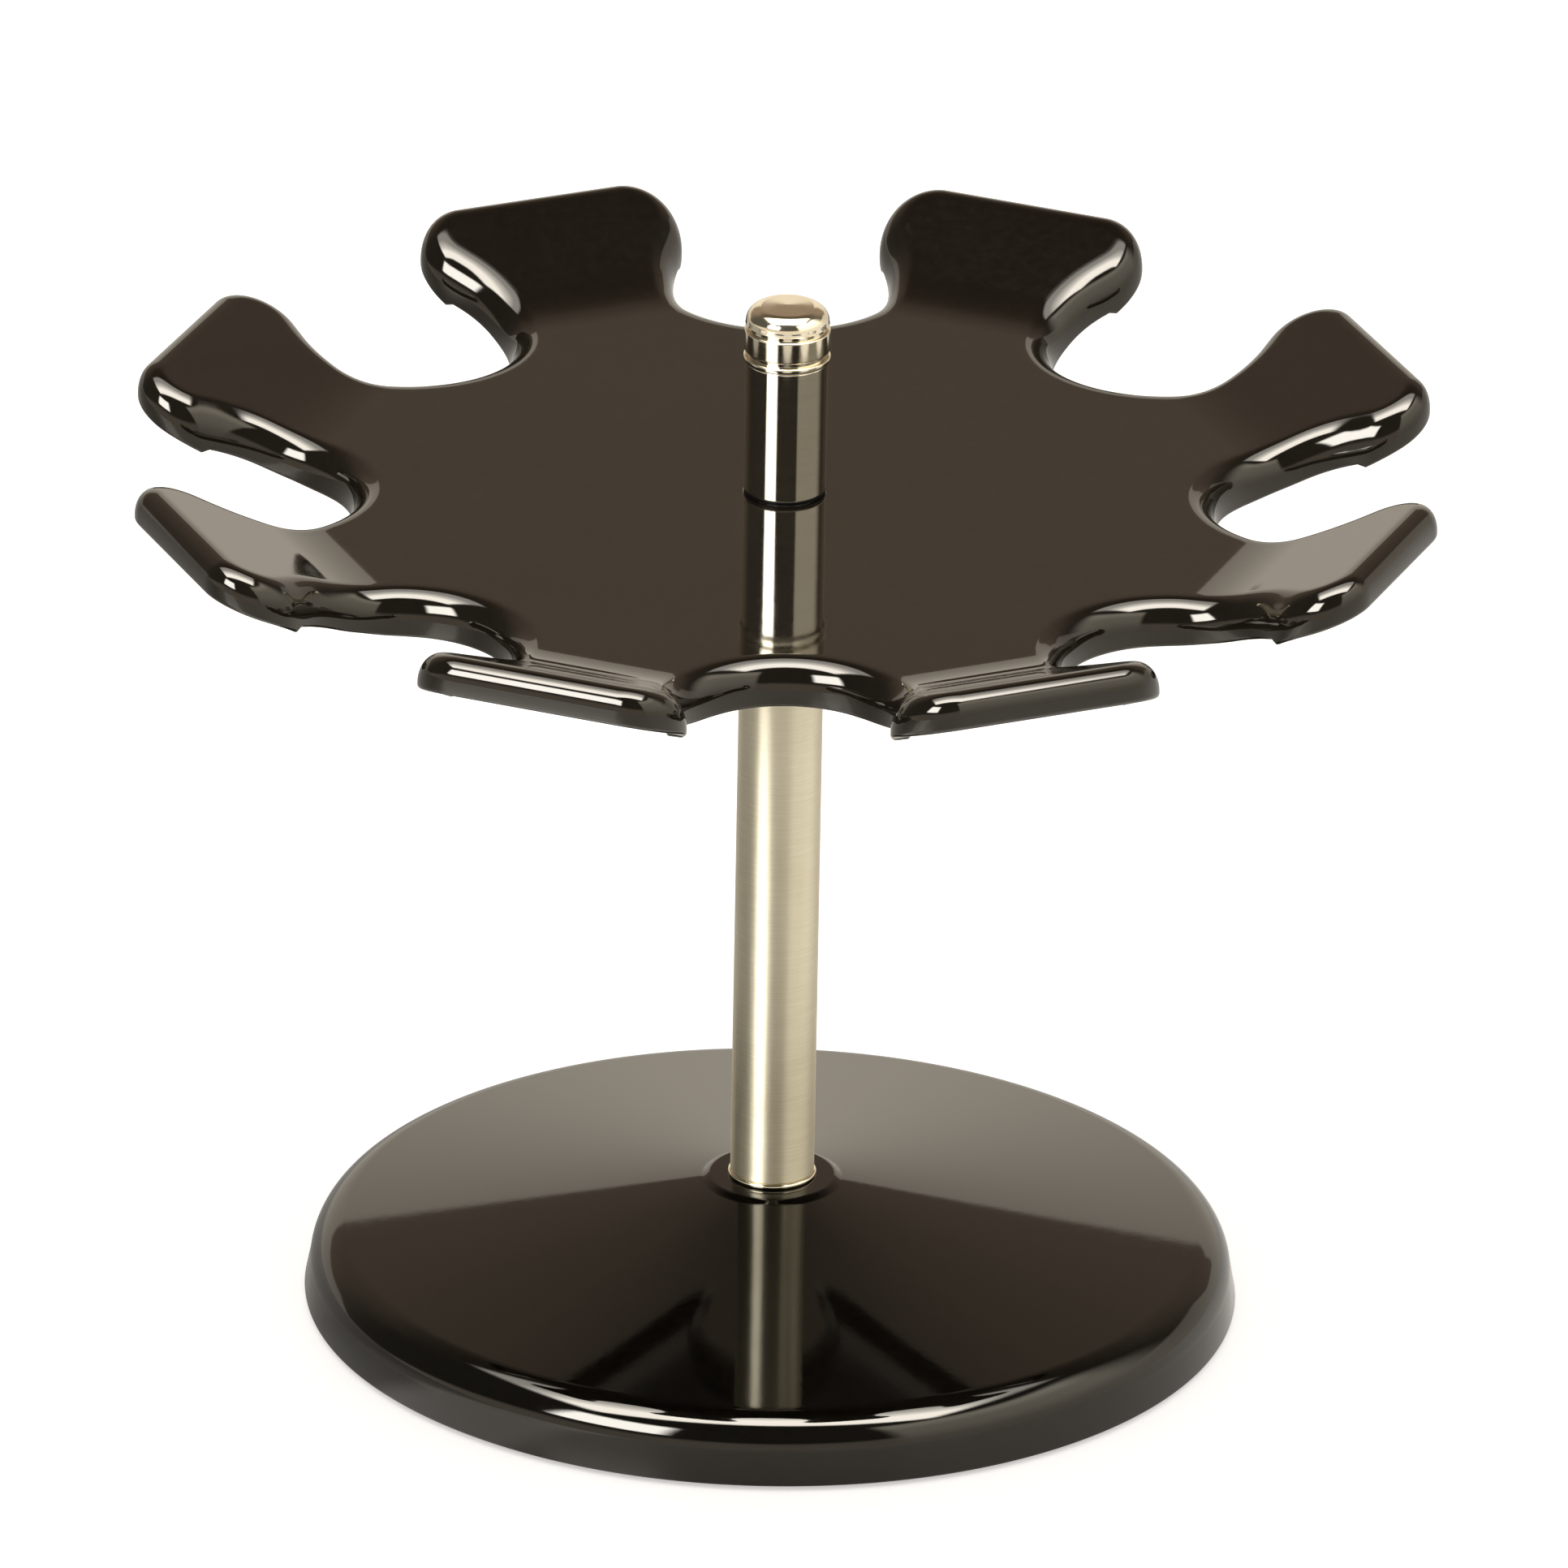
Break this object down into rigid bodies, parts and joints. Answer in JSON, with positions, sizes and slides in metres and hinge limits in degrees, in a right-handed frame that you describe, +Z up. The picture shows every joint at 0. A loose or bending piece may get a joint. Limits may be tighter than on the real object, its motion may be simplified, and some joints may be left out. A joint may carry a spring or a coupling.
{
  "type": "desk stamp carousel",
  "caption": "Desk carousel for hand stamps: round weighted base, slim metal post, and a turning plate whose notches between up-turned flaps hold the stamps by their handles, under a domed knob.",
  "frame": {"origin": "on the desk under the middle of the base", "axes": "+Z up along the post, -Y towards the viewer of the picture, with a notch at -Y"},
  "size_m": [0.138, 0.138, 0.1156],
  "materials": {
    "rubber": "matt black rubber",
    "zinc_steel": "zinc plated steel",
    "iron": "cast iron, painted grey",
    "black_gloss_base": "black, high gloss",
    "polished_nickel": "warm polished nickel",
    "plug_metal": "turned aluminium",
    "satin_nickel": "satin nickel with a warm tone",
    "acetal": "natural acetal",
    "bearing_steel": "ground steel",
    "black_acetal": "black acetal",
    "black_gloss_plate": "black, high gloss"
  },
  "bodies": {
    "stand": {"non_slip_pad": "rubber", "base_nut": "zinc_steel", "spring_washer": "zinc_steel", "base_washer": "zinc_steel", "tie_rod": "zinc_steel", "ballast_disc": "iron", "base_cover": "black_gloss_base", "post_foot_ring": "polished_nickel", "post_lower_plug": "plug_metal", "post_upper_plug": "plug_metal", "post_tube": "satin_nickel", "lower_thrust_washer": "acetal", "bearing_sleeve": "bearing_steel", "upper_thrust_washer": "black_acetal", "neck_sleeve": "polished_nickel", "neck_collar": "polished_nickel", "knob_ring": "polished_nickel", "knob_cap": "polished_nickel"},
    "carousel": {"carousel_plate": "black_gloss_plate", "hub_bush": "acetal"}
  },
  "joints": [
    {"name": "carousel_spin", "type": "hinge", "parent": "stand", "child": "carousel", "pos_m": [0, 0, 0.0941], "axis": [0, 0, 1], "continuous": true}
  ]
}
